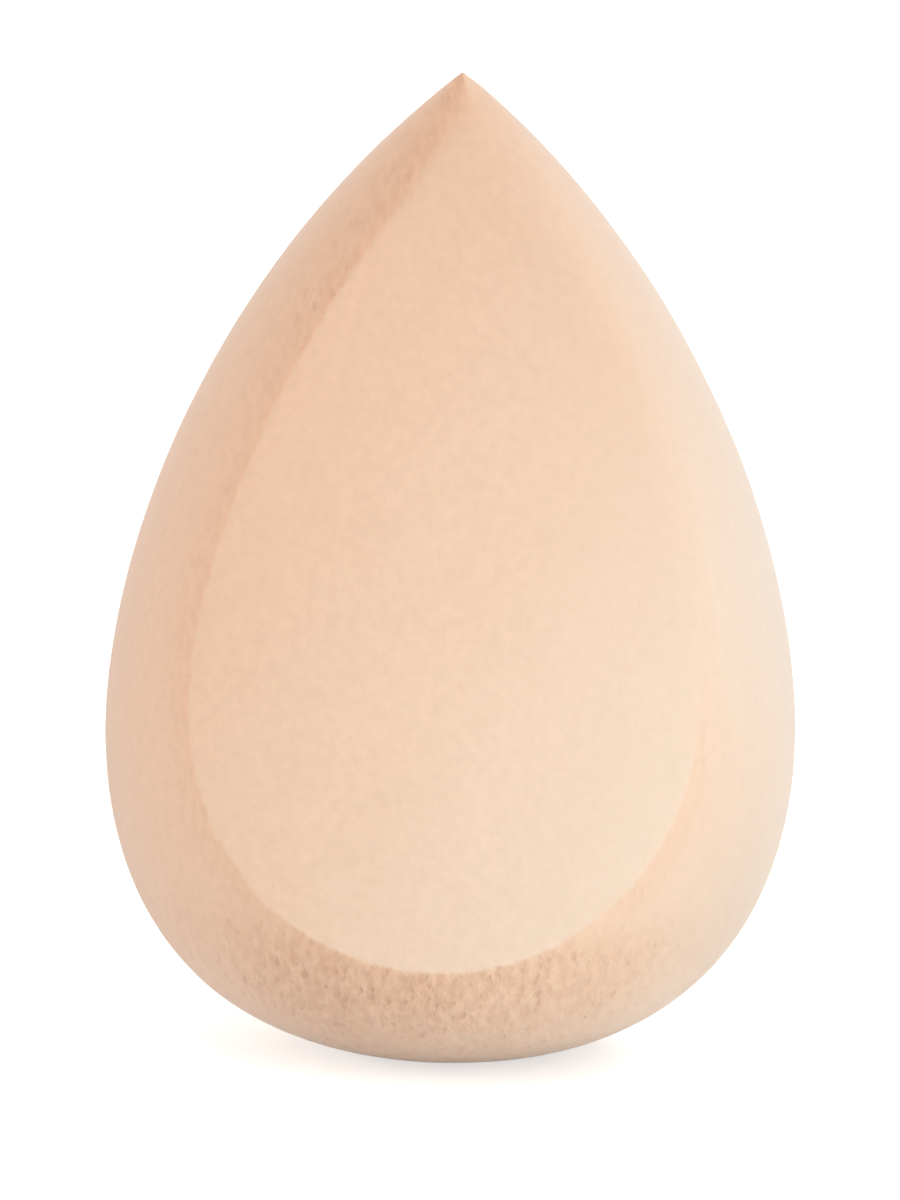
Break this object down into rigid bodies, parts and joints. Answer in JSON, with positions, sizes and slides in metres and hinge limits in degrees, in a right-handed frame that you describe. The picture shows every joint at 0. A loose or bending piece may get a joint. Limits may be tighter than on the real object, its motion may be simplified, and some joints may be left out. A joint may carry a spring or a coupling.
{
  "type": "makeup sponge",
  "caption": "Drop-shaped blending sponge of soft open-cell foam with a pointed top, a round base and one large slanted flat side.",
  "frame": {"origin": "centre of the small flat at the base, on the surface that the sponge stands on", "axes": "+Z along the drop's axis from the base to the point, -Y towards the slanted cut side, X across it"},
  "size_m": [0.042, 0.0392, 0.06],
  "materials": {
    "foam": "matt, dry open-cell foam with a velvety skin, peach nude"
  },
  "bodies": {
    "root": {"foam_body": "foam"}
  },
  "joints": []
}
